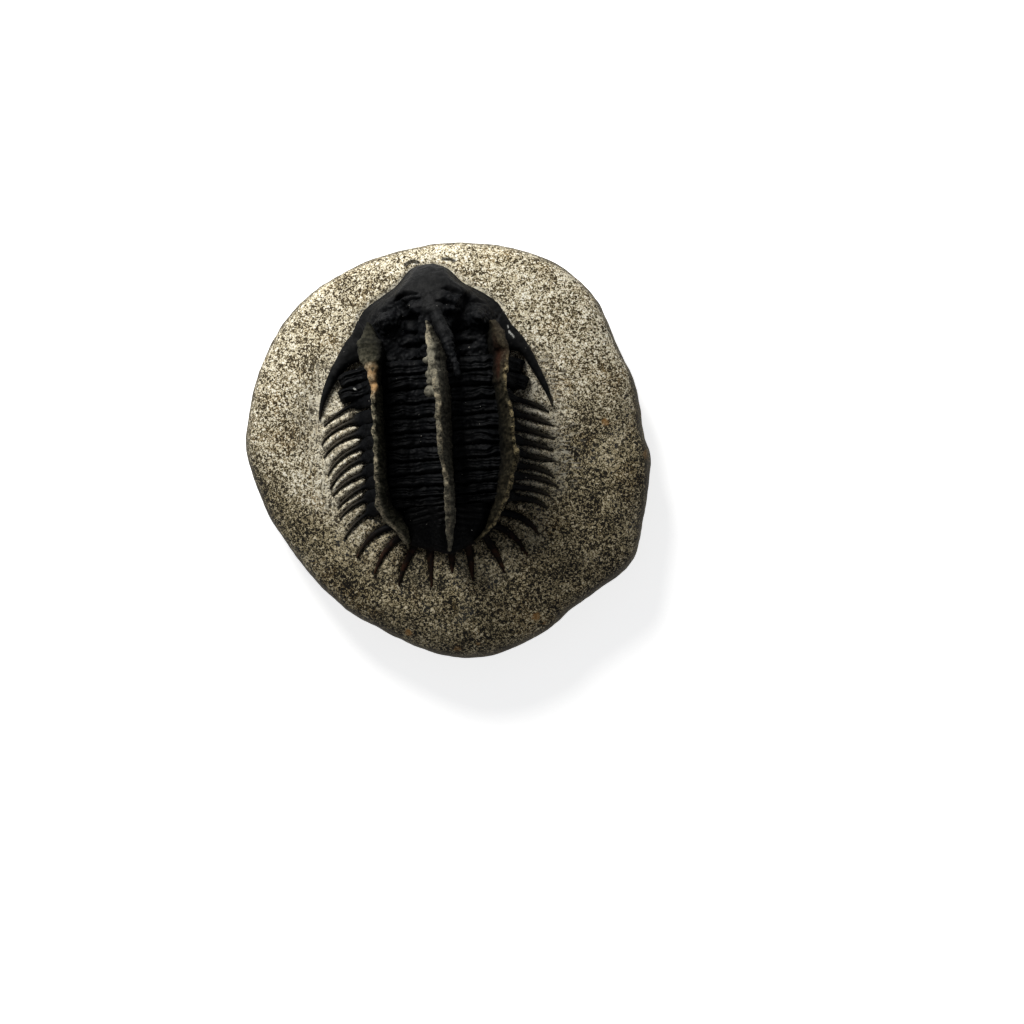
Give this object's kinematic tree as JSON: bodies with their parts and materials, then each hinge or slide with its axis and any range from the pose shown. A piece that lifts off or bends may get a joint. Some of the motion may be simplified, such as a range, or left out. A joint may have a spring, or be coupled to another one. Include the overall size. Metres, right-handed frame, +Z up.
{
  "type": "fossil comura trilobite",
  "caption": "Spiny fossil trilobite standing in relief on a rounded hand-sized slab of speckled limestone, with thin rock walls left along its back.",
  "frame": {"origin": "middle of the slab's flat underside, below the middle of the whole object's bounding box", "axes": "+Z up out of the slab's face, +Y roughly towards the animal's head, +X towards its right-hand side as seen from above"},
  "size_m": [0.0998, 0.1026, 0.0452],
  "materials": {
    "limestone": "matte",
    "fossil_shell": "satin",
    "wall_rock": "matte"
  },
  "bodies": {
    "root": {"matrix_slab": "limestone", "cephalon": "fossil_shell", "thoracic_segment_01": "fossil_shell", "thoracic_segment_02": "fossil_shell", "thoracic_segment_03": "fossil_shell", "thoracic_segment_04": "fossil_shell", "thoracic_segment_05": "fossil_shell", "thoracic_segment_06": "fossil_shell", "thoracic_segment_07": "fossil_shell", "thoracic_segment_08": "fossil_shell", "thoracic_segment_09": "fossil_shell", "thoracic_segment_10": "fossil_shell", "thoracic_segment_11": "fossil_shell", "pygidium": "fossil_shell", "spine_wall_left": "wall_rock", "spine_wall_middle": "wall_rock", "spine_wall_right": "wall_rock"}
  },
  "joints": []
}
